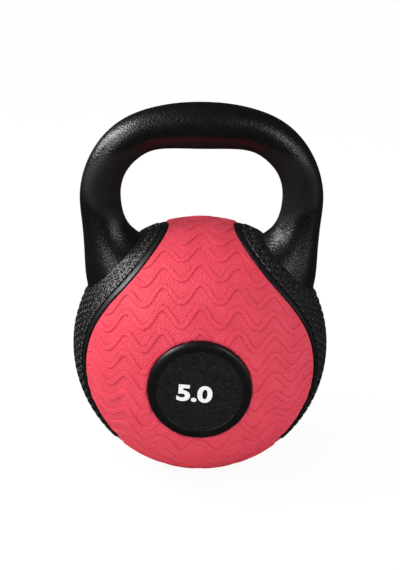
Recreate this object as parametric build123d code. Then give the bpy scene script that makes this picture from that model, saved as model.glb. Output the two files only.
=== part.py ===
from build123d import *
from math import acos, atan2, cos, pi, sin, sqrt
import os

# Kettlebell with a filled ball, a steel-cored grip and a coloured wrap.
# Lengths are millimetres. Everything is modelled about the ball's centre, with the front towards -Y,
# and is then raised so that the foot stands on Z = 0.

# Ball and base
ball_diameter = 170.0
base_flat_diameter = 69.0
foot_diameter = 60.0
foot_thickness = 5.6
foot_proud = 0.8

# Wrap, set a little under the ball's surface. Its front outline is a disc with a neck above and
# a straight-sided skirt below.
wrap_thickness = 6.3
wrap_set = 0.7
side_band_width = 93.0
wrap_drop = 0.6
neck_width = 40.5
skirt_width = 100.0
skirt_corner_radius = 30.0

# Rim and side inlays, whose widths are measured in the front view
rim_drop = 0.8
rim_width = 2.2
groove_width = 0.6
inlay_thickness = 3.0

# Shell and filling
shell_wall = 8.0
lap_length = 2.5
filler_hole_diameter = 18.0
plug_flange_width = 4.0
plug_flange_thickness = 2.0

# Round cap
cap_diameter = 63.3
cap_face_diameter = 53.2
cap_rise = 2.5
cap_ring_height = 0.5
cap_wall = 3.0
spigot_diameter = 16.0
spigot_length = 9.0
socket_wall = 3.0

# Grip
grip_middle_diameter = 29.4
grip_shoulder_thickness = 27.7
grip_corner_thickness = 25.3
window_height = 46.5
inside_corner_radius = 30.0
leg_inset = 6.7
leg_thickness = 26.3
leg_depth = 27.6
heel_inset = 10.7
toe_spacing = 64.0
toe_drop = 9.0
foot_depth = 62.0
foot_sink = 3.0

# Steel rod in the grip
rod_diameter = 12.0
rod_straight = 16.0
rod_knee_radius = 60.0
rod_end_spacing = 72.0
rod_end_height = 5.0
pin_diameter = 6.0
pin_length = 44.0
pin_from_end = 12.0

# Clearances
glue_line = 0.2
edge_fit = 0.2
cast_gap = 0.1
pin_fit = 0.1
rod_clearance = 0.3
inlay_clearance = 0.3

# Values that follow from the sizes above
ball_radius = ball_diameter / 2
beyond = 2 * ball_diameter
wrap_face = ball_radius - wrap_set
shell_radius = wrap_face - wrap_thickness
cavity_radius = shell_radius - shell_wall
inlay_floor = ball_radius - inlay_thickness
base_height = sqrt(ball_radius**2 - (base_flat_diameter / 2) ** 2)
centre_height = base_height + foot_proud
foot_seat = centre_height - foot_thickness
cap_well_radius = cap_diameter / 2 + edge_fit
cap_seat = sqrt(shell_radius**2 - cap_well_radius**2)
cap_edge = sqrt(wrap_face**2 - (cap_diameter / 2) ** 2)
cap_face = cap_edge + cap_rise
wrap_radius = sqrt(ball_radius**2 - (side_band_width / 2) ** 2)
neck_height = sqrt(ball_radius**2 - (neck_width / 2) ** 2)
neck_reach = sqrt((neck_width / 2) ** 2 + (neck_height + wrap_drop) ** 2)
flank_angle = atan2(neck_height + wrap_drop, neck_width / 2) - acos(wrap_radius / neck_reach)
grip_seat = inlay_floor + glue_line


def half_space(direction, start=0.0):
    # Everything further than start along a direction that lies on one axis
    middle = [component * (start + beyond / 2) for component in direction]
    return Pos(*middle) * Box(beyond, beyond, beyond)


def along_y(radius, near, far):
    # Round bar on the front-to-back axis, from near to far in front of the ball's centre
    return Pos(0, -(near + far) / 2, 0) * Rot(90, 0, 0) * Cylinder(radius, far - near)


def upright(radius, bottom, top):
    return Pos(0, 0, (bottom + top) / 2) * Cylinder(radius, top - bottom)


def wrap_prism(grow):
    # Front outline of the wrap, grown by an amount and run through the ball from front to back.
    # The flanks are tangent to the disc, so a grown outline keeps its flank angle.
    radius = wrap_radius + grow
    neck_x = neck_width / 2 + grow
    skirt_x = skirt_width / 2 + grow
    neck_z = (radius - neck_x * cos(flank_angle)) / sin(flank_angle) - wrap_drop
    skirt_z = -sqrt(radius**2 - skirt_x**2) - wrap_drop
    skirt_angle = atan2(skirt_z + wrap_drop, skirt_x)

    def on_disc(angle):
        return (radius * cos(angle), radius * sin(angle) - wrap_drop)

    neck = Polyline((0, beyond / 2), (neck_x, beyond / 2), (neck_x, neck_z), on_disc(flank_angle))
    disc = ThreePointArc(neck @ 1, on_disc((flank_angle + skirt_angle) / 2), (skirt_x, skirt_z))
    skirt = Polyline((skirt_x, skirt_z), (skirt_x, -beyond / 2), (0, -beyond / 2), (0, beyond / 2))
    half = make_face(neck + disc + skirt)
    corner = half.vertices().sort_by_distance((skirt_x, skirt_z, 0))[0]
    half = fillet(corner, skirt_corner_radius - grow)
    outline = Plane.XZ * (half + mirror(half, about=Plane.YZ))
    return extrude(outline, amount=beyond / 2, both=True)


# Grip: elliptical sections, each set on a chord from the inner to the outer outline of the front view
leg_outer = ball_radius - leg_inset
leg_inner = leg_outer - leg_thickness
window_top = ball_radius + window_height
corner_x = leg_inner - inside_corner_radius
corner_z = window_top - inside_corner_radius


def grip_section(inner, outer, depth, grow):
    # A stretched circle, whose seam always lies at the outer end, so that all sections line up
    across = (outer - inner).normalized()
    plane = Plane(origin=(inner + outer) / 2, x_dir=across, z_dir=across.cross(Vector(0, -1, 0)))
    half_width = (outer - inner).length / 2 + grow
    return plane * scale(Circle(1), by=(half_width, depth / 2 + grow, 1))


def right_chords():
    # Inner end, outer end and depth of each section, from the right corner down to the foot's root
    chords = []
    corner_dip = (grip_shoulder_thickness + leg_thickness) / 2 - grip_corner_thickness
    for angle in (pi / 2, pi / 3, pi / 6):
        even = leg_thickness + (grip_shoulder_thickness - leg_thickness) * angle / (pi / 2)
        thickness = even - corner_dip * sin(2 * angle)
        direction = Vector(cos(angle), 0, sin(angle))
        inner = Vector(corner_x, 0, corner_z) + direction * inside_corner_radius
        chords.append((inner, inner + direction * thickness, leg_depth))
    root_radius = inlay_floor - foot_sink
    toe_x = toe_spacing / 2
    heel_x = ball_radius - heel_inset
    toe = Vector(toe_x, 0, sqrt(root_radius**2 - toe_x**2))
    heel = Vector(heel_x, 0, sqrt(root_radius**2 - heel_x**2))
    instep = Vector(leg_inner, 0, ball_radius - toe_drop)
    inner_start = Vector(leg_inner, 0, corner_z)
    outer_start = Vector(leg_outer, 0, corner_z)
    for step in (0, 0.25, 0.5, 0.75, 1):
        inner = inner_start * (1 - step) ** 2 + instep * 2 * step * (1 - step) + toe * step**2
        outer = outer_start * (1 - step) + heel * step
        chords.append((inner, outer, leg_depth + (foot_depth - leg_depth) * step**2))
    return chords


def grip_form(grow):
    top = Vector(0, 0, window_top)
    middle = (top, top + Vector(0, 0, grip_middle_diameter), grip_middle_diameter)
    right = right_chords()
    left = [(Vector(-a.X, 0, a.Z), Vector(-b.X, 0, b.Z), depth) for a, b, depth in right]
    return loft([grip_section(*chord, grow) for chord in left[::-1] + [middle] + right])


# Steel rod: along the middle of the grip, with its legs turned in towards the filling
rod_x = leg_outer - leg_thickness / 2
rod_top = window_top + leg_thickness / 2
rod_knee = corner_z - rod_straight
rod_end_x = rod_end_spacing / 2


def rod_form(radius):
    right = [(rod_x, 0, rod_top), (rod_x, 0, rod_knee), (rod_end_x, 0, rod_end_height)]
    left = [(-x, y, z) for x, y, z in right]
    corner_radius = inside_corner_radius + leg_thickness / 2
    path = FilletPolyline(
        *left[::-1],
        *right,
        radius=[rod_knee_radius, corner_radius, corner_radius, rod_knee_radius],
    )
    return sweep((path ^ 0) * Circle(radius), path=path)


def pins_form(radius, length):
    # Two cross pins, from front to back, near the ends of the rod's legs
    leg = Vector(rod_x - rod_end_x, 0, rod_knee - rod_end_height).normalized()
    place = Vector(rod_end_x, 0, rod_end_height) + leg * pin_from_end
    pin = Pos(*place) * Rot(90, 0, 0) * Cylinder(radius, length)
    return Compound([pin.solid(), mirror(pin, about=Plane.YZ).solid()])


def shell_whole():
    # Ball under the wrap, with raised side zones, before it is split into halves
    zones = Sphere(ball_radius - rim_drop) - wrap_prism(0)
    recess = Sphere(ball_radius) - Sphere(inlay_floor) - wrap_prism(rim_width)
    body = Sphere(shell_radius) + zones - recess
    for side in (0, 180):
        body -= Rot(0, 0, side) * along_y(cap_well_radius, cap_seat, beyond / 2)
    return body - half_space((0, 0, -1), foot_seat)


def cavity_form():
    # Room for the filling: a ball flattened behind the caps and over the base
    room = Sphere(cavity_radius) - half_space((0, 0, -1), foot_seat - shell_wall)
    room -= half_space((0, -1, 0), cap_seat - shell_wall)
    return room - half_space((0, 1, 0), cap_seat - shell_wall)


def cap_socket():
    # Blind socket behind the front cap, standing into the filling
    bottom = cap_seat - spigot_length - edge_fit - socket_wall
    return along_y(spigot_diameter / 2 + edge_fit + socket_wall, bottom, cap_seat)


def cap_socket_bore():
    return along_y(spigot_diameter / 2 + edge_fit, cap_seat - spigot_length - edge_fit, beyond / 2)


def lap_band(outer, reach):
    # Thin band inside the parting face, reaching forward of it
    band = Sphere(outer) - Sphere(cavity_radius)
    return band - half_space((0, 1, 0)) - half_space((0, -1, 0), reach)


def make_shells():
    plate = foot_seat - shell_wall
    body = shell_whole() - cavity_form()
    for side in (0, 180):
        turn = Rot(0, 0, side)
        body = body + turn * cap_socket() - turn * cap_socket_bore()
    hole = upright(filler_hole_diameter / 2 + edge_fit, -foot_seat, -plate)
    flange_radius = filler_hole_diameter / 2 + plug_flange_width + edge_fit
    hole += upright(flange_radius, -foot_seat, -foot_seat + plug_flange_thickness)
    body = body - hole - rod_form(rod_diameter / 2 + rod_clearance)
    lap_radius = cavity_radius + shell_wall / 2
    tongue = body & lap_band(lap_radius - edge_fit, lap_length - edge_fit)
    front = body - half_space((0, 1, 0)) - lap_band(lap_radius, lap_length)
    rear = body - half_space((0, -1, 0)) + tongue
    return front, rear


def make_front_cover():
    outer = Sphere(wrap_face) - Sphere(shell_radius + glue_line)
    cover = outer & wrap_prism(-edge_fit)
    cover -= half_space((0, 1, 0), -edge_fit / 2)
    cover -= half_space((0, 0, -1), base_height)
    cover -= along_y(cap_well_radius, 0, beyond / 2)
    return cover - upright(foot_diameter / 2 + edge_fit, -beyond / 2, 0)


def make_front_cap():
    # Turned section, drawn in the XZ plane as radius and distance from the ball's centre
    rim = cap_diameter / 2
    face = cap_face_diameter / 2
    crest = cap_face + cap_ring_height
    ring = SagittaArc((rim, cap_edge), (face, crest), (rim - face) / 10)
    underside = cap_face - cap_wall
    spigot = spigot_diameter / 2
    inside = rim - cap_wall
    tip = cap_seat - spigot_length
    outline = Polyline(
        (face, crest),
        (face, cap_face),
        (0, cap_face),
        (0, tip),
        (spigot, tip),
        (spigot, underside),
        (inside, underside),
        (inside, cap_seat),
        (rim, cap_seat),
        (rim, cap_edge),
    )
    section = Plane.XZ * make_face(outline + ring)
    return Rot(90, 0, 0) * revolve(section, Axis.Z)


def make_inlays():
    skin = Sphere(ball_radius) - Sphere(inlay_floor + glue_line)
    skin = skin - wrap_prism(rim_width + groove_width) - grip_form(inlay_clearance)
    return skin & half_space((-1, 0, 0)), skin & half_space((1, 0, 0))


def make_ballast():
    room = Sphere(cavity_radius - cast_gap) & cavity_form()
    for side in (0, 180):
        room -= Rot(0, 0, side) * cap_socket()
    room -= rod_form(rod_diameter / 2 + cast_gap)
    return room - pins_form(pin_diameter / 2 + cast_gap, pin_length + 2 * cast_gap)


def make_rod():
    return rod_form(rod_diameter / 2) - pins_form(pin_diameter / 2 + pin_fit, pin_length)


def make_grip():
    return grip_form(0) - Sphere(grip_seat) - rod_form(rod_diameter / 2 + pin_fit)


def make_plug():
    plug = upright(filler_hole_diameter / 2, -foot_seat, -foot_seat + shell_wall)
    flange = filler_hole_diameter / 2 + plug_flange_width
    return plug + upright(flange, -foot_seat, -foot_seat + plug_flange_thickness)


def make_foot():
    disc = upright(foot_diameter / 2, -centre_height, -foot_seat)
    edge = disc.edges().filter_by(GeomType.CIRCLE).sort_by(Axis.Z)[0]
    return chamfer(edge, foot_proud)


front_shell, rear_shell = make_shells()
left_side_pad, right_side_pad = make_inlays()
front_cover = make_front_cover()
front_cap = make_front_cap()
pieces = {
    "front_shell": front_shell,
    "rear_shell": rear_shell,
    "front_cover": front_cover,
    "rear_cover": mirror(front_cover, about=Plane.XZ),
    "front_cap": front_cap,
    "rear_cap": mirror(front_cap, about=Plane.XZ),
    "left_side_pad": left_side_pad,
    "right_side_pad": right_side_pad,
    "handle_grip": make_grip(),
    "handle_bar": make_rod(),
    "anchor_pins": pins_form(pin_diameter / 2, pin_length),
    "ballast": make_ballast(),
    "fill_plug": make_plug(),
    "base_foot": make_foot(),
}

os.makedirs("parts", exist_ok=True)
for name, piece in pieces.items():
    export_step(Pos(0, 0, centre_height) * piece, f"parts/{name}.step")
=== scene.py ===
import math

import bmesh
import bpy
import numpy as np
from mathutils import Euler, Matrix, Vector, noise
from mathutils.bvhtree import BVHTree


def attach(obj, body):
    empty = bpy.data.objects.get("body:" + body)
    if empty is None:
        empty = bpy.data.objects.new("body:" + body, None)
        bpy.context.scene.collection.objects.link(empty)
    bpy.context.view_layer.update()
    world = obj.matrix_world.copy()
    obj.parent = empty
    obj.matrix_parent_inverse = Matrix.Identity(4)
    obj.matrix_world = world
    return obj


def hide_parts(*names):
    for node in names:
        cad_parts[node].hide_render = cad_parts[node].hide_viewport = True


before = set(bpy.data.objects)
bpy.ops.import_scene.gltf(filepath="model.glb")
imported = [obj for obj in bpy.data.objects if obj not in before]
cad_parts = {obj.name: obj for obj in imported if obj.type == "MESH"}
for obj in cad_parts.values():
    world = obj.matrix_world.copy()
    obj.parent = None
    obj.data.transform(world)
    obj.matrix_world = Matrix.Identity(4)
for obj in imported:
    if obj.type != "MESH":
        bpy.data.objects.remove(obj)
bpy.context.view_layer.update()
print("frame loaded")

# Shapes are worked out in millimetres about the ball's centre, and meshes are made in metres
mm = 0.001
tiny = 1e-6
ball = {"radius": 85.0, "height": 78.48, "baseDrop": 77.68}
centre = Vector((0, 0, ball["height"] * mm))


def clear():
    for name in ("Cube", "Light", "Camera"):
        if name in bpy.data.objects:
            bpy.data.objects.remove(bpy.data.objects[name])


def toMetres(points):
    lifted = np.asarray(points, dtype=float) + np.array([0.0, 0.0, ball["height"]])
    return lifted * mm


def smoothStep(value):
    value = np.clip(value, 0.0, 1.0)
    return value * value * (3.0 - 2.0 * value)


def merge(bm):
    bmesh.ops.remove_doubles(bm, verts=bm.verts[:], dist=tiny)


def sheet(points):
    # A flat grid whose corners are moved to rows of points, with corners that meet merged
    rows, columns = points.shape[:2]
    spots = toMetres(points)
    bm = bmesh.new()
    bmesh.ops.create_grid(bm, x_segments=columns - 1, y_segments=rows - 1, size=1)
    for vert in bm.verts:
        column = round((vert.co.x + 1) / 2 * (columns - 1))
        row = round((vert.co.y + 1) / 2 * (rows - 1))
        vert.co = spots[row, column]
    merge(bm)
    return bm


def turnRound(bm, geom, middle, axis, steps):
    bmesh.ops.spin(bm, geom=geom, cent=middle, axis=axis, angle=2 * math.pi, steps=steps, use_merge=True)
    merge(bm)
    bmesh.ops.recalc_face_normals(bm, faces=bm.faces[:])


def faceOutward(bm, inside):
    bmesh.ops.recalc_face_normals(bm, faces=bm.faces[:])
    outward = 0.0
    for face in bm.faces:
        outward += face.normal.dot(face.calc_center_median() - inside) * face.calc_area()
    if outward < 0:
        bmesh.ops.reverse_faces(bm, faces=bm.faces[:])


def toMesh(bm, name):
    mesh = bpy.data.meshes.new(name)
    bm.to_mesh(mesh)
    bm.free()
    return mesh


def addObject(name, data):
    obj = bpy.data.objects.new(name, data)
    bpy.context.scene.collection.objects.link(obj)
    return obj


def addPiece(bm, name):
    for face in bm.faces:
        face.smooth = True
    obj = addObject(name, toMesh(bm, name))
    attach(obj, "root")
    return obj


clear()

# Front outline of the wrap: a disc, a neck above it and a skirt below it, with a slight bulge at mid-height
outline = {
    "disc": 71.155,
    "drop": 0.6,
    "neck": 20.25,
    "skirt": 50.0,
    "skirtCorner": 30.0,
    "bulge": 1.6,
    "bulgeAt": -0.02,  # radians, as is the next
    "bulgeHalf": 0.62,
    "bulgePower": 1.2,
}
# Steps of the searches for where a line leaves the outline
search = {
    "nearTurn": 0.3,  # radians, inside the ball's outline
    "farTurn": 1.57,  # radians, outside it
    "halvings": 60,
    "lineSteps": 1600,
    "rowStart": 80.0,
    "rowStep": 0.25,
    "rowLeast": 1.0,
    "rowHalvings": 30,
}


def bulge(phi):
    share = (phi - outline["bulgeAt"]) / outline["bulgeHalf"]
    return outline["bulge"] * max(1 - share * share, 0.0) ** outline["bulgePower"]


def outlineReach(phi, discGrow, neckGrow, skirtGrow):
    # Distance from the disc's middle to the outline, at an angle above level
    radius = outline["disc"] + discGrow
    neck = outline["neck"] + neckGrow
    skirt = outline["skirt"] + skirtGrow
    neckHeight = math.sqrt(ball["radius"] ** 2 - neck**2) + outline["drop"]
    flank = math.atan2(neckHeight, neck) - math.acos(radius / math.hypot(neck, neckHeight))
    if phi > flank:
        return max(radius / math.cos(phi - flank), neck / max(math.cos(phi), tiny))
    corner = outline["skirtCorner"] - skirtGrow
    cornerX = skirt + corner
    cornerZ = -math.sqrt((radius + corner) ** 2 - cornerX**2)
    if phi > math.atan2(cornerZ, cornerX):
        return radius + bulge(phi)
    if phi > math.atan2(cornerZ, skirt):
        along = math.cos(phi) * cornerX + math.sin(phi) * cornerZ
        return along - math.sqrt(along**2 - cornerX**2 - cornerZ**2 + corner**2) + bulge(phi)
    return skirt / max(math.cos(phi), tiny)


def insideOutline(x, z, grow):
    phi = math.atan2(z + outline["drop"], abs(x))
    return math.hypot(x, z + outline["drop"]) < outlineReach(phi, grow, grow, grow)


def halve(inside, low, high, times):
    # Last place that is inside, between low, which is, and high, which isn't
    for _ in range(times):
        middle = (low + high) / 2
        if inside(middle):
            low = middle
        else:
            high = middle
    return low


def runLengths(points):
    return np.concatenate([[0.0], np.cumsum(np.linalg.norm(np.diff(points, axis=0), axis=1))])


def pointsAt(points, lengths, wanted):
    return np.stack([np.interp(wanted, lengths, points[:, axis]) for axis in range(3)], axis=1)


def borderLine(grows, radius, count):
    # Line on a ball, along the outline grown by three amounts, from the top to the bottom of its right half
    def place(phi):
        reach = outlineReach(phi, *grows)
        return reach * math.cos(phi), reach * math.sin(phi) - outline["drop"]

    def onBall(phi):
        x, z = place(phi)
        return x * x + z * z < radius * radius

    top = halve(onBall, search["nearTurn"], search["farTurn"], search["halvings"])
    bottom = halve(onBall, -search["nearTurn"], -search["farTurn"], search["halvings"])
    points = []
    for step in np.linspace(0, math.pi, search["lineSteps"]):
        x, z = place(top + (bottom - top) * (1 - math.cos(step)) / 2)
        points.append((x, -math.sqrt(max(radius * radius - x * x - z * z, 0.0)), z))
    points = np.array(points)
    lengths = runLengths(points)
    return pointsAt(points, lengths, np.linspace(0, lengths[-1], count))


# Wrap: a skin with raised wave ribs, whose mesh rows follow the ribs
wrap = {
    "face": 84.0,
    "edgeGap": 0.2,
    "rows": 10,  # ribs above and below the middle, before the wrap is cut
    "pitch": 10.15,  # degrees, as are the next two
    "firstRow": 5.6,
    "swing": 4.0,
    "waveLength": 22.7,
    "ribHalfWidth": 1.45,
    "ribEdge": 0.4,
    "ribHeight": 0.75,
    "ribFade": 1.2,
    "ribStart": 0.2,
    "ditch": 0.22,
    "ditchAt": 1.75,
    "ditchWidth": 0.18,
    "span": 73.0,
    "columns": 221,
    "margin": 1.3,
    "capHole": 31.85,
    "capEdge": 0.7,
    "capDrop": 0.35,
    "capInside": 1.0,
    "capSide": 40.0,
    "footHole": 30.2,
    "seam": 0.1,
    "wallDepth": 5.0,
    "edgeRound": 0.8,
    "edgeDrop": 0.55,
}
ribLines = [0.0, 0.7, 1.15, 1.3, 1.45, 1.6, 1.75, 1.95, 2.2]  # distances from a rib's middle
edgeSteps = np.array([0.9, 0.55, 0.25, 0.0])  # distances from the border
betweenLines = [0.35, 0.7, 1.0]  # shares of the way to the middle between two ribs


def waveAngle(x):
    return math.radians(wrap["swing"]) * (np.cos(2 * math.pi * x / wrap["waveLength"]) - 1)


def rowAngle(x, row, side, line, between):
    # Angle about the left-to-right axis of a mesh row that runs beside rib number row
    girth = np.sqrt(wrap["face"] ** 2 - x**2)
    turn = 2 * math.pi / wrap["waveLength"]
    slope = girth * math.radians(wrap["swing"]) * turn * np.sin(turn * x)
    offset = side * line * np.sqrt(1 + slope**2) / girth
    half = side * math.radians(wrap["pitch"]) / 2
    offset = offset + (half - offset) * between
    return math.radians(wrap["firstRow"] + wrap["pitch"] * row) + waveAngle(x) + offset


def rowEdge(row, side, line, between):
    def inside(x):
        angle = float(rowAngle(np.array(x), row, side, line, between))
        return insideOutline(x, math.sqrt(wrap["face"] ** 2 - x * x) * math.sin(angle), -wrap["edgeGap"])

    high = search["rowStart"]
    while high > search["rowLeast"] and not inside(high - search["rowStep"]):
        high -= search["rowStep"]
    return halve(inside, high - search["rowStep"], high, search["rowHalvings"])


def intoOutline(x, angle, edge):
    # Points of a row on the wrap's face, with those past the outline moved back to it,
    # and how far inside it they lie
    girth = np.sqrt(wrap["face"] ** 2 - x**2)
    z = girth * np.sin(angle)
    toEdge = edge - np.abs(x)
    grow = -wrap["edgeGap"]
    for number in range(len(x)):
        rise = z[number] + outline["drop"]
        reach = outlineReach(math.atan2(rise, abs(x[number])), grow, grow, grow)
        away = math.hypot(x[number], rise)
        if away > reach:
            x[number] *= reach / away
            z[number] = rise * reach / away - outline["drop"]
        toEdge[number] = max(min(toEdge[number], reach - away), 0.0)
    y = -np.sign(np.cos(angle)) * np.sqrt(np.maximum(wrap["face"] ** 2 - x**2 - z**2, 0.0))
    return x, y, z, toEdge


def ribRise(line):
    edge = wrap["ribEdge"]
    rise = float(smoothStep((wrap["ribHalfWidth"] + edge / 2 - line) / edge)) * wrap["ribHeight"]
    return rise - wrap["ditch"] * math.exp(-(((line - wrap["ditchAt"]) / wrap["ditchWidth"]) ** 2))


def skinHeight(rise, toEdge, fromCap):
    # Ribs fade out at the border and at the cap, where the skin itself rounds down
    height = rise * smoothStep((toEdge - wrap["ribStart"]) / wrap["ribFade"])
    height = height * smoothStep(fromCap / wrap["ribFade"])
    corner = 1 - np.clip(toEdge / wrap["edgeRound"], 0, 1)
    height = height - wrap["edgeDrop"] * (1 - np.sqrt(np.clip(1 - corner**2, 0, 1)))
    nearCap = 1 - smoothStep(fromCap / wrap["capEdge"])
    return height - wrap["capDrop"] * nearCap * (fromCap > -wrap["capInside"])


def wrapPoints():
    even = np.linspace(-wrap["span"], wrap["span"], wrap["columns"])
    lines = [(-1, ribLines[-1], between) for between in betweenLines[-2::-1]]
    lines += [(-1, line, 0.0) for line in ribLines[:0:-1]]
    lines += [(1, line, 0.0) for line in ribLines]
    lines += [(1, ribLines[-1], between) for between in betweenLines]
    rows = []
    for row in range(-wrap["rows"], wrap["rows"]):
        for side, line, between in lines:
            edge = rowEdge(row, side, line, between)
            inner = edge - wrap["margin"]
            x = np.concatenate([edgeSteps[::-1] - edge, np.clip(even, -inner, inner), edge - edgeSteps])
            angle = rowAngle(x, row, side, line, between)
            rise = ribRise(line) if between == 0.0 else 0.0
            x, y, z, toEdge = intoOutline(x, angle, edge)
            height = skinHeight(rise, toEdge, np.hypot(x, z) - wrap["capHole"])
            scale = (wrap["face"] + height) / wrap["face"]
            rows.append(np.stack([x * scale, y * scale, z * scale], axis=1))
    return np.array(rows)


def openCapHole(bm):
    hole = wrap["capHole"] * mm
    flat = (wrap["face"] - wrap["capDrop"]) * mm

    def fromAxis(vert):
        return math.hypot(vert.co.x, vert.co.z - centre.z)

    doomed = []
    for face in bm.faces:
        if all(fromAxis(vert) < hole for vert in face.verts) and face.calc_center_median().y < 0:
            doomed.append(face)
    bmesh.ops.delete(bm, geom=doomed, context="FACES")
    for vert in bm.verts:
        reach = fromAxis(vert)
        if reach < hole and vert.co.y < -wrap["capSide"] * mm:
            vert.co.x *= hole / reach
            vert.co.z = centre.z + (vert.co.z - centre.z) * hole / reach
            vert.co.y = -math.sqrt(flat * flat - hole * hole)


def growWalls(bm, base):
    # Walls run inwards from every border, and along the flat base to the foot's hole
    border = [edge for edge in bm.edges if edge.is_boundary]
    grown = bmesh.ops.extrude_edge_only(bm, edges=border)["geom"]
    for vert in [part for part in grown if isinstance(part, bmesh.types.BMVert)]:
        if abs(vert.co.z - base.z) < tiny:
            reach = math.hypot(vert.co.x, vert.co.y)
            vert.co.x *= wrap["footHole"] * mm / reach
            vert.co.y *= wrap["footHole"] * mm / reach
        else:
            away = vert.co - centre
            vert.co = centre + away * (1 - wrap["wallDepth"] * mm / away.length)


def makeWrap(name, node, facing):
    bm = sheet(wrapPoints())
    seam = Vector((0, -wrap["seam"] * mm, 0))
    base = Vector((0, 0, (ball["height"] - ball["baseDrop"]) * mm))
    for spot, direction in ((seam, Vector((0, 1, 0))), (base, Vector((0, 0, -1)))):
        everything = bm.verts[:] + bm.edges[:] + bm.faces[:]
        bmesh.ops.bisect_plane(bm, geom=everything, plane_co=spot, plane_no=direction, clear_outer=True)
    openCapHole(bm)
    growWalls(bm, base)
    if facing > 0:
        bmesh.ops.scale(bm, vec=(1, -1, 1), verts=bm.verts[:])
    faceOutward(bm, centre)
    obj = addPiece(bm, name)
    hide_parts(node)
    return obj


frontWrap = makeWrap("frontWrap", "front_cover", -1)
rearWrap = makeWrap("rearWrap", "rear_cover", 1)
print("wraps made", len(frontWrap.data.polygons))

# Rim: a rounded bead round each side zone. Widths are measured on the ball.
rim = {
    "gap": 0.2,
    "width": 4.5,
    "low": 83.55,
    "crest": 84.25,
    "foot": 81.5,
    "count": 260,
    "arcSteps": 13,
    "arcPower": 0.55,
    "cadFace": 84.2,  # the CAD shell's rim, which sinks under the bead
    "cadSlack": 0.3,
    "sink": 0.2,
    "sharp": 40,  # degrees
}
shrink = (0.547, 0.971, 0.809)  # disc, neck and skirt, seen from the front


def zoneLoop(width, radius, count):
    # Closed line round the right side zone, a width outside the wrap
    front = borderLine([width * part for part in shrink], radius, count)
    return np.concatenate([front, front[::-1][1:-1] * np.array([1, -1, 1])])


def makeBead(name, side):
    profile = [(0.0, rim["foot"])]
    for step in np.linspace(0, math.pi, rim["arcSteps"]):
        share = (1 - math.cos(step)) / 2
        lift = math.sin(step) ** rim["arcPower"]
        profile.append((share, rim["low"] + (rim["crest"] - rim["low"]) * lift))
    profile += [(1.0, rim["foot"]), profile[0]]
    lines = []
    for share, radius in profile:
        width = rim["gap"] + share * (rim["width"] - rim["gap"])
        loop = zoneLoop(width, radius, rim["count"])
        lines.append(np.concatenate([loop, loop[:1]]))
    bm = sheet(np.array(lines) * np.array([side, 1, 1]))
    bmesh.ops.recalc_face_normals(bm, faces=bm.faces[:])
    obj = addPiece(bm, name)
    return obj


def makeShell(name, node):
    # Copy of a CAD shell half, with its flat rim lowered under the bead
    bm = bmesh.new()
    bm.from_mesh(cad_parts[node].data)
    merge(bm)
    for vert in bm.verts:
        away = vert.co - centre
        if abs(away.length / mm - rim["cadFace"]) < rim["cadSlack"]:
            vert.co = centre + away * ((rim["low"] - rim["sink"]) * mm / away.length)
    obj = addPiece(bm, name)
    obj.data.set_sharp_from_angle(angle=math.radians(rim["sharp"]))
    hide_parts(node)
    return obj


leftBead = makeBead("leftBead", -1)
rightBead = makeBead("rightBead", 1)
print("beads made")

# Side pads: a pebbled skin inside the rim, with raised rings in rows beside the rim
pad = {
    "skin": 84.3,
    "border": 5.6,
    "depth": 3.0,
    "edgeDrop": 0.5,
    "edgeShares": (0.0, 0.006, 0.013),  # shares of the way from the border to the pole
    "firstShare": 0.02,
    "pebble": 1.7,
    "pebbleRise": 0.27,
    "pebbleReach": 0.75,
    "loop": 400,
    "steps": 118,
}
rings = {
    "radius": 1.55,
    "tube": 0.55,
    "level": 84.38,
    "rows": 12,
    "rowGap": 5.3,
    "firstRow": 2.7,
    "spacing": 5.6,
    "least": 0.86,  # share of the spacing that two rings keep
    "sideLimit": 5.0,
    "clear": 2.5,  # to the grip
    "baseClear": 4.0,
    "lineSteps": 400,
    "around": 12,
    "section": 5,
}


def nodeTree(node):
    bm = bmesh.new()
    bm.from_mesh(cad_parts[node].data)
    tree = BVHTree.FromBMesh(bm)
    bm.free()
    return tree


gripTree = nodeTree("handle_grip")


def pebbles(line):
    rise = []
    for place in line:
        near = noise.voronoi(Vector(place * pad["skin"] / pad["pebble"]))[0][0]
        rise.append(pad["pebbleRise"] * max(0.0, 1 - near / pad["pebbleReach"]))
    return np.array(rise)


def makePad(name, node, side):
    loop = zoneLoop(pad["border"], pad["skin"], pad["loop"]) / pad["skin"]
    loop = np.concatenate([loop, loop[:1]])
    pole = np.array([1.0, 0.0, 0.0])
    rows = [loop * (pad["skin"] - pad["depth"])]
    for share in np.concatenate([pad["edgeShares"], np.linspace(pad["firstShare"], 1, pad["steps"])[:-1]]):
        line = loop * (1 - share) + pole * share
        line = line / np.linalg.norm(line, axis=1)[:, None]
        drop = pad["edgeDrop"] * (1 - min(share / pad["edgeShares"][-1], 1.0)) ** 2
        rows.append(line * (pad["skin"] + pebbles(line) - drop)[:, None])
    rows.append(np.tile(pole * pad["skin"], (len(loop), 1)))
    bm = sheet(np.array(rows) * np.array([side, 1, 1]))
    faceOutward(bm, centre)
    obj = addPiece(bm, name)
    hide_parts(node)
    return obj


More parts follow.
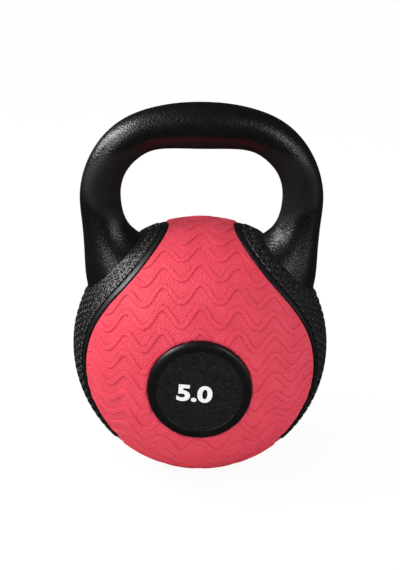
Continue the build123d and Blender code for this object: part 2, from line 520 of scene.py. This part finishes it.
def ringPlaces():
    # Places of the rings on the right front quarter, row by row away from the rim
    radius = ball["radius"]
    border = borderLine([pad["border"] * part for part in shrink], radius, rings["lineSteps"])
    tangent = np.gradient(border, axis=0)
    tangent /= np.linalg.norm(tangent, axis=1)[:, None]
    up = border / radius
    away = np.cross(up, tangent)
    away /= np.linalg.norm(away, axis=1)[:, None]
    if away[len(away) // 2][0] < 0:
        away = -away
    places = []
    for row in range(rings["rows"]):
        turn = (rings["firstRow"] + row * rings["rowGap"]) / radius
        line = radius * (up * math.cos(turn) + away * math.sin(turn))
        lengths = runLengths(line)
        count = int(lengths[-1] / rings["spacing"])
        even = (np.arange(count) + 0.5 * (row % 2) + 0.25) * rings["spacing"]
        for place in pointsAt(line, lengths, even[even < lengths[-1]]):
            if place[1] <= -rings["spacing"] / 2 and place[0] >= rings["sideLimit"]:
                places.append(place / np.linalg.norm(place))
    kept = []
    least = rings["spacing"] * rings["least"]
    for place in places:
        if all(np.linalg.norm(place - other) * radius > least for other in kept):
            kept.append(place)
    return kept


def ringMesh():
    tube = Matrix.Translation((rings["radius"] * mm, 0, 0)) @ Matrix.Rotation(math.pi / 2, 4, "X")
    bm = bmesh.new()
    bmesh.ops.create_circle(bm, segments=rings["section"], radius=rings["tube"] * mm, matrix=tube)
    turnRound(bm, bm.verts[:] + bm.edges[:], (0, 0, 0), (0, 0, 1), rings["around"])
    return toMesh(bm, "ring")


def makeRings(name, side):
    ring = ringMesh()
    bm = bmesh.new()
    for place in ringPlaces():
        for facing in (1, -1):
            up = Vector((place[0] * side, place[1] * facing, place[2]))
            spot = centre + up * rings["level"] * mm
            if gripTree.find_nearest(spot, rings["clear"] * mm)[0] is not None:
                continue
            if up.z * pad["skin"] < rings["baseClear"] - ball["baseDrop"]:
                continue
            turn = Vector((0, 0, 1)).rotation_difference(up).to_matrix().to_4x4()
            copy = ring.copy()
            copy.transform(Matrix.Translation(spot) @ turn)
            bm.from_mesh(copy)
            bpy.data.meshes.remove(copy)
    bpy.data.meshes.remove(ring)
    obj = addPiece(bm, name)
    return obj


leftPad = makePad("leftPad", "left_side_pad", -1)
rightPad = makePad("rightPad", "right_side_pad", 1)
frontShell = makeShell("frontShell", "front_shell")
rearShell = makeShell("rearShell", "rear_shell")
leftRings = makeRings("leftRings", -1)
rightRings = makeRings("rightRings", 1)
print("pads made", len(leftRings.data.polygons))

# Caps: turned about the front-to-back axis, with a smooth rounded ring and a grained face
cap = {
    "rim": 31.65,
    "edge": 78.13,
    "edgeStep": 0.3,
    "faceRim": 26.3,
    "crest": 81.13,
    "crestOut": 0.7,
    "crestIn": 1.1,
    "roundPower": 0.85,
    "roundSteps": 15,
    "crestSteps": 5,
    "face": 80.83,
    "faceRings": (25.6, 25.0, 22.0, 15.0, 8.0, 0.0),
    "grainInset": 0.5,
    "grainFlat": 0.995,
    "seat": 71.0,
    "steps": 144,
}


def capProfile():
    # Distance from the axis and depth, from the middle of the seat to the middle of the face
    crestAt = cap["faceRim"] + cap["crestOut"]
    profile = [(0.0, cap["seat"]), (cap["rim"], cap["seat"]), (cap["rim"], cap["edge"] - cap["edgeStep"])]
    for share in np.linspace(0, 1, cap["roundSteps"]):
        angle = share * math.pi / 2
        reach = cap["rim"] - (cap["rim"] - crestAt) * (1 - math.cos(angle))
        rise = math.sin(angle) ** cap["roundPower"]
        profile.append((reach, cap["edge"] + (cap["crest"] - cap["edge"]) * rise))
    for share in np.linspace(1 / cap["crestSteps"], 1, cap["crestSteps"]):
        angle = share * math.pi / 2
        depth = cap["face"] + (cap["crest"] - cap["face"]) * math.cos(angle)
        profile.append((crestAt - cap["crestIn"] * math.sin(angle), depth))
    for reach in cap["faceRings"]:
        profile.append((reach, cap["face"]))
    return profile


def makeCap(name, node, facing):
    bm = bmesh.new()
    verts = []
    for reach, depth in capProfile():
        verts.append(bm.verts.new(centre + Vector((reach, facing * depth, 0)) * mm))
    edges = [bm.edges.new(pair) for pair in zip(verts, verts[1:])]
    turnRound(bm, verts + edges, centre, (0, 1, 0), cap["steps"])
    obj = addPiece(bm, name)
    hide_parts(node)
    return obj


frontCap = makeCap("frontCap", "front_cap", -1)
rearCap = makeCap("rearCap", "rear_cap", 1)
print("caps made")

# Weight mark: a plain number on the front cap
mark = {
    "words": "5.0",
    "height": 0.0142,
    "stretch": 1.25,
    "depth": 0.00012,
    "offset": 0.0005,
    "smooth": 8,
    "place": (-3.2, -1.6),
    "turn": -4.5,  # degrees
}


def makeMark():
    curve = bpy.data.curves.new("weightMark", "FONT")
    curve.body = mark["words"]
    curve.size = mark["height"]
    curve.align_x = "CENTER"
    curve.align_y = "CENTER"
    curve.offset = mark["offset"]
    curve.extrude = mark["depth"]
    curve.resolution_u = mark["smooth"]
    text = addObject("weightText", curve)
    bpy.context.view_layer.update()
    mesh = bpy.data.meshes.new_from_object(text.evaluated_get(bpy.context.evaluated_depsgraph_get()))
    bpy.data.objects.remove(text)
    spot = toMetres([(mark["place"][0], -cap["face"], mark["place"][1])])[0]
    turn = Matrix.Rotation(math.radians(mark["turn"]), 4, "Z")
    upright = Matrix.Rotation(math.pi / 2, 4, "X")
    wide = Matrix.Diagonal((mark["stretch"], 1, 1, 1))
    mesh.transform(Matrix.Translation(Vector(spot)) @ upright @ turn @ wide)
    mesh.name = "weightMark"
    obj = addObject("weightMark", mesh)
    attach(obj, "root")
    return obj


weightMark = makeMark()
print("mark made")


# Materials
class Paint:
    def __init__(self, name):
        self.material = bpy.data.materials.new(name)
        self.material.use_nodes = True
        self.nodes = self.material.node_tree.nodes
        self.links = self.material.node_tree.links
        self.shader = self.nodes["Principled BSDF"]
        self.place = self.nodes.new("ShaderNodeTexCoord").outputs["Object"]

    def value(self, socket, amount):
        self.shader.inputs[socket].default_value = amount

    def noise(self, scale, detail=2.0):
        node = self.nodes.new("ShaderNodeTexNoise")
        node.inputs["Scale"].default_value = scale
        node.inputs["Detail"].default_value = detail
        self.links.new(self.place, node.inputs["Vector"])
        return node.outputs["Fac"]

    def cells(self, scale, smooth):
        node = self.nodes.new("ShaderNodeTexVoronoi")
        node.feature = "SMOOTH_F1"
        node.inputs["Scale"].default_value = scale
        node.inputs["Smoothness"].default_value = smooth
        self.links.new(self.place, node.inputs["Vector"])
        return node.outputs["Distance"]

    def oval(self, middle, size):
        # Distance from the middle of an oval tube that runs front to back, 1 on its wall
        node = self.nodes.new("ShaderNodeMapping")
        node.vector_type = "TEXTURE"
        node.inputs["Location"].default_value = middle
        node.inputs["Scale"].default_value = size
        self.links.new(self.place, node.inputs["Vector"])
        length = self.nodes.new("ShaderNodeVectorMath")
        length.operation = "LENGTH"
        self.links.new(node.outputs["Vector"], length.inputs[0])
        return length.outputs["Value"]

    def remap(self, field, start, end, low, high):
        node = self.nodes.new("ShaderNodeMapRange")
        node.inputs["From Min"].default_value = start
        node.inputs["From Max"].default_value = end
        node.inputs["To Min"].default_value = low
        node.inputs["To Max"].default_value = high
        self.links.new(field, node.inputs["Value"])
        return node.outputs["Result"]

    def add(self, first, second):
        node = self.nodes.new("ShaderNodeMath")
        node.operation = "ADD"
        self.links.new(first, node.inputs[0])
        self.links.new(second, node.inputs[1])
        return node.outputs["Value"]

    def colour(self, field, pair):
        node = self.nodes.new("ShaderNodeValToRGB")
        for element, spot, tint in zip(node.color_ramp.elements, noiseRange, pair):
            element.position = spot
            element.color = (*tint, 1.0)
        self.links.new(field, node.inputs["Fac"])
        self.links.new(node.outputs["Color"], self.shader.inputs["Base Color"])

    def bump(self, fields):
        before = None
        for field, strength, distance, invert in fields:
            node = self.nodes.new("ShaderNodeBump")
            node.invert = invert
            node.inputs["Strength"].default_value = strength
            node.inputs["Distance"].default_value = distance
            self.links.new(field, node.inputs["Height"])
            if before is not None:
                self.links.new(before, node.inputs["Normal"])
            before = node.outputs["Normal"]
        self.links.new(before, self.shader.inputs["Normal"])


noiseRange = (0.3, 0.7)  # most of a noise texture's values lie between these
# Each bump is a kind, its scale, its smoothness or detail, its strength and its distance
looks = {
    "coralRubber": {
        "colours": ((0.74, 0.049, 0.085), (0.81, 0.06, 0.102)),
        "mottle": (60.0, 3.0),
        "rough": (0.5, 0.64),
        "roughScale": 300.0,
        "specular": 0.3,
        "bumps": [("cells", 750.0, 0.4, 0.8, 0.0007)],
    },
    "satinBlack": {
        "colours": ((0.004, 0.004, 0.0043), (0.006, 0.006, 0.0063)),
        "mottle": (80.0, 2.0),
        "rough": (0.36, 0.46),
        "roughScale": 500.0,
        "specular": 0.9,
        "bumps": [("noise", 1500.0, 2.0, 0.08, 0.0001)],
    },
    # Dull round the window, polished by hands outside it
    "gripSkin": {
        "colours": ((0.002, 0.0019, 0.0019), (0.0035, 0.0033, 0.0033)),
        "mottle": (90.0, 3.0),
        "rough": (0.0, 0.08),
        "roughScale": 400.0,
        "window": {"middle": (0, 0, 0.187), "size": (0.055, 10.0, 0.023), "polish": (1.2, 1.42, 0.9, 0.29)},
        "specular": 0.85,
        "bumps": [("cells", 900.0, 0.5, 0.45, 0.0004), ("noise", 650.0, 2.0, 0.22, 0.0002)],
    },
    "padRubber": {
        "colours": ((0.009, 0.0084, 0.0078), (0.018, 0.0168, 0.0156)),
        "mottle": (200.0, 3.0),
        "rough": (0.2, 0.34),
        "roughScale": 900.0,
        "specular": 1.0,
        "bumps": [("noise", 1300.0, 2.0, 0.7, 0.0005)],
    },
    "capPlastic": {
        "colours": ((0.004, 0.0037, 0.0037), (0.006, 0.0057, 0.0056)),
        "mottle": (120.0, 2.0),
        "rough": (0.32, 0.4),
        "roughScale": 500.0,
        "specular": 0.6,
        "bumps": [("noise", 1500.0, 2.0, 0.06, 0.0001)],
    },
    "capFace": {
        "colours": ((0.008, 0.0073, 0.007), (0.014, 0.013, 0.0125)),
        "mottle": (250.0, 2.0),
        "rough": (0.26, 0.42),
        "roughScale": 700.0,
        "specular": 0.7,
        "bumps": [("cells", 650.0, 0.3, 1.0, 0.0008), ("noise", 1500.0, 2.0, 0.3, 0.0003)],
    },
    "markPaint": {
        "colours": ((0.86, 0.86, 0.85), (0.92, 0.92, 0.91)),
        "mottle": (300.0, 2.0),
        "evenRough": 0.5,
        "bumps": [("noise", 1500.0, 2.0, 0.1, 0.0001)],
    },
    "footRubber": {
        "colours": ((0.012, 0.012, 0.012), (0.02, 0.02, 0.02)),
        "mottle": (150.0, 4.0),
        "rough": (0.54, 0.66),
        "roughScale": 400.0,
        "bumps": [("noise", 900.0, 2.0, 0.2, 0.0002)],
    },
    "steel": {
        "colours": ((0.45, 0.45, 0.46), (0.58, 0.58, 0.59)),
        "mottle": (150.0, 4.0),
        "rough": (0.29, 0.41),
        "roughScale": 400.0,
        "metal": 1.0,
        "bumps": [("noise", 900.0, 2.0, 0.2, 0.0002)],
    },
    "cement": {
        "colours": ((0.38, 0.37, 0.35), (0.52, 0.51, 0.48)),
        "mottle": (150.0, 4.0),
        "rough": (0.79, 0.91),
        "roughScale": 400.0,
        "bumps": [("noise", 900.0, 2.0, 0.2, 0.0002)],
    },
}


def makePaint(name):
    look = looks[name]
    paint = Paint(name)
    paint.colour(paint.noise(*look["mottle"]), look["colours"])
    if "evenRough" in look:
        paint.value("Roughness", look["evenRough"])
    else:
        rough = paint.remap(paint.noise(look["roughScale"]), *noiseRange, *look["rough"])
        if "window" in look:
            window = look["window"]
            polish = paint.remap(paint.oval(window["middle"], window["size"]), *window["polish"])
            rough = paint.add(polish, rough)
        paint.links.new(rough, paint.shader.inputs["Roughness"])
    paint.value("Specular IOR Level", look.get("specular", 0.5))
    paint.value("Metallic", look.get("metal", 0.0))
    fields = []
    for kind, scale, extra, strength, distance in look["bumps"]:
        field = paint.cells(scale, extra) if kind == "cells" else paint.noise(scale, extra)
        fields.append((field, strength, distance, kind == "cells"))
    paint.bump(fields)
    return paint.material


def dress(obj, *materials):
    obj.data.materials.clear()
    for material in materials:
        obj.data.materials.append(material)


def grainFace(obj):
    limit = (cap["faceRim"] - cap["grainInset"]) * mm
    for polygon in obj.data.polygons:
        reach = math.hypot(polygon.center.x, polygon.center.z - centre.z)
        if reach < limit and abs(polygon.normal.y) > cap["grainFlat"]:
            polygon.material_index = 1


paints = {name: makePaint(name) for name in looks}
for name, pieces in {
    "coralRubber": (frontWrap, rearWrap),
    "satinBlack": (leftBead, rightBead, frontShell, rearShell),
    "padRubber": (leftPad, rightPad, leftRings, rightRings),
    "markPaint": (weightMark,),
}.items():
    for piece in pieces:
        dress(piece, paints[name])
for piece in (frontCap, rearCap):
    dress(piece, paints["capPlastic"], paints["capFace"])
    grainFace(piece)
for node, name in {
    "handle_grip": "gripSkin",
    "base_foot": "footRubber",
    "fill_plug": "footRubber",
    "handle_bar": "steel",
    "anchor_pins": "steel",
    "ballast": "cement",
}.items():
    dress(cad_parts[node], paints[name])
print("materials made")

# Studio: pale floor, soft lights and the camera
studio = {
    "floor": 6.0,
    "floorColour": (0.93, 0.93, 0.93),
    "floorRough": 0.9,
    "floorSpecular": 0.1,
    "seenWhite": 0.92,  # share of the floor's white that the camera sees, the rest keeps the shadow
    "glow": 1.02,
    "world": 0.69,
    "worldColour": (0.97, 0.98, 1.0),
    "mirrored": 0.03,  # the studio as black skins mirror it
}
aim = (0, 0, 0.14)
warm = (1.0, 0.99, 0.98)
lights = {
    "key": {"place": (-0.905, -0.16, 1.06), "size": (0.32, 0.32), "power": 6.1, "colour": warm},
    "side": {"place": (-1.065, 0.285, 0.83), "size": (0.35, 0.35), "power": 5.0, "colour": warm},
    "front": {"place": (-0.796, -0.796, 0.79), "size": (0.35, 0.35), "power": 2.6, "colour": (1.0, 1.0, 1.0)},
    "right": {"place": (0.796, -0.796, 0.79), "size": (0.35, 0.35), "power": 1.9, "colour": (0.93, 0.97, 1.0)},
    "low": {"place": (1.18, -0.35, 0.42), "size": (0.35, 0.6), "power": 1.1, "colour": (0.85, 0.92, 1.0)},
}
camera = {
    "place": (-0.0004, -0.6297, 0.2566),  # from the ball's centre
    "sensor": 36.0,
    "lens": 63.44,
    "pitch": 18.97,  # degrees, as is the next
    "roll": 0.6,
}


def makeFloor():
    bm = bmesh.new()
    bmesh.ops.create_grid(bm, x_segments=1, y_segments=1, size=studio["floor"])
    obj = addObject("floor", toMesh(bm, "floor"))
    paint = Paint("floorPaint")
    paint.value("Base Color", (*studio["floorColour"], 1.0))
    paint.value("Roughness", studio["floorRough"])
    paint.value("Specular IOR Level", studio["floorSpecular"])
    path = paint.nodes.new("ShaderNodeLightPath")
    share = paint.nodes.new("ShaderNodeMath")
    share.operation = "MULTIPLY"
    share.inputs[1].default_value = studio["seenWhite"]
    paint.links.new(path.outputs["Is Camera Ray"], share.inputs[0])
    last = paint.shader.outputs["BSDF"]
    for factor, strength in (
        (path.outputs["Is Glossy Ray"], studio["mirrored"]),
        (share.outputs["Value"], studio["glow"]),
    ):
        shine = paint.nodes.new("ShaderNodeEmission")
        shine.inputs["Strength"].default_value = strength
        mix = paint.nodes.new("ShaderNodeMixShader")
        paint.links.new(factor, mix.inputs["Fac"])
        paint.links.new(last, mix.inputs[1])
        paint.links.new(shine.outputs["Emission"], mix.inputs[2])
        last = mix.outputs["Shader"]
    paint.links.new(last, paint.nodes["Material Output"].inputs["Surface"])
    obj.data.materials.append(paint.material)


def makeWorld():
    world = bpy.data.worlds.new("studioWorld")
    bpy.context.scene.world = world
    world.use_nodes = True
    nodes = world.node_tree.nodes
    links = world.node_tree.links
    path = nodes.new("ShaderNodeLightPath")
    nodes["Background"].inputs["Color"].default_value = (*studio["worldColour"], 1)
    nodes["Background"].inputs["Strength"].default_value = studio["world"]
    last = nodes["Background"].outputs["Background"]
    for ray, strength in (("Is Glossy Ray", studio["mirrored"]), ("Is Camera Ray", 1.0)):
        other = nodes.new("ShaderNodeBackground")
        other.inputs["Color"].default_value = (1, 1, 1, 1)
        other.inputs["Strength"].default_value = strength
        mix = nodes.new("ShaderNodeMixShader")
        links.new(path.outputs[ray], mix.inputs["Fac"])
        links.new(last, mix.inputs[1])
        links.new(other.outputs["Background"], mix.inputs[2])
        last = mix.outputs["Shader"]
    links.new(last, nodes["World Output"].inputs["Surface"])


def makeLight(name, light):
    data = bpy.data.lights.new(name, "AREA")
    data.shape = "RECTANGLE"
    data.size, data.size_y = light["size"]
    data.energy = light["power"]
    data.color = light["colour"]
    obj = addObject(name, data)
    obj.location = light["place"]
    obj.rotation_euler = (Vector(aim) - Vector(light["place"])).to_track_quat("-Z", "Y").to_euler()


def makeCamera():
    data = bpy.data.cameras.new("camera")
    data.sensor_width = camera["sensor"]
    data.lens = camera["lens"]
    obj = addObject("camera", data)
    obj.location = Vector(camera["place"]) + centre
    pitch = Euler((math.radians(90 - camera["pitch"]), 0, 0)).to_matrix()
    obj.rotation_euler = (pitch @ Matrix.Rotation(math.radians(camera["roll"]), 3, "Z")).to_euler()
    bpy.context.scene.camera = obj


makeFloor()
makeWorld()
for name, light in lights.items():
    makeLight(name, light)
makeCamera()
bpy.context.scene.view_settings.view_transform = "Standard"
print("studio made")
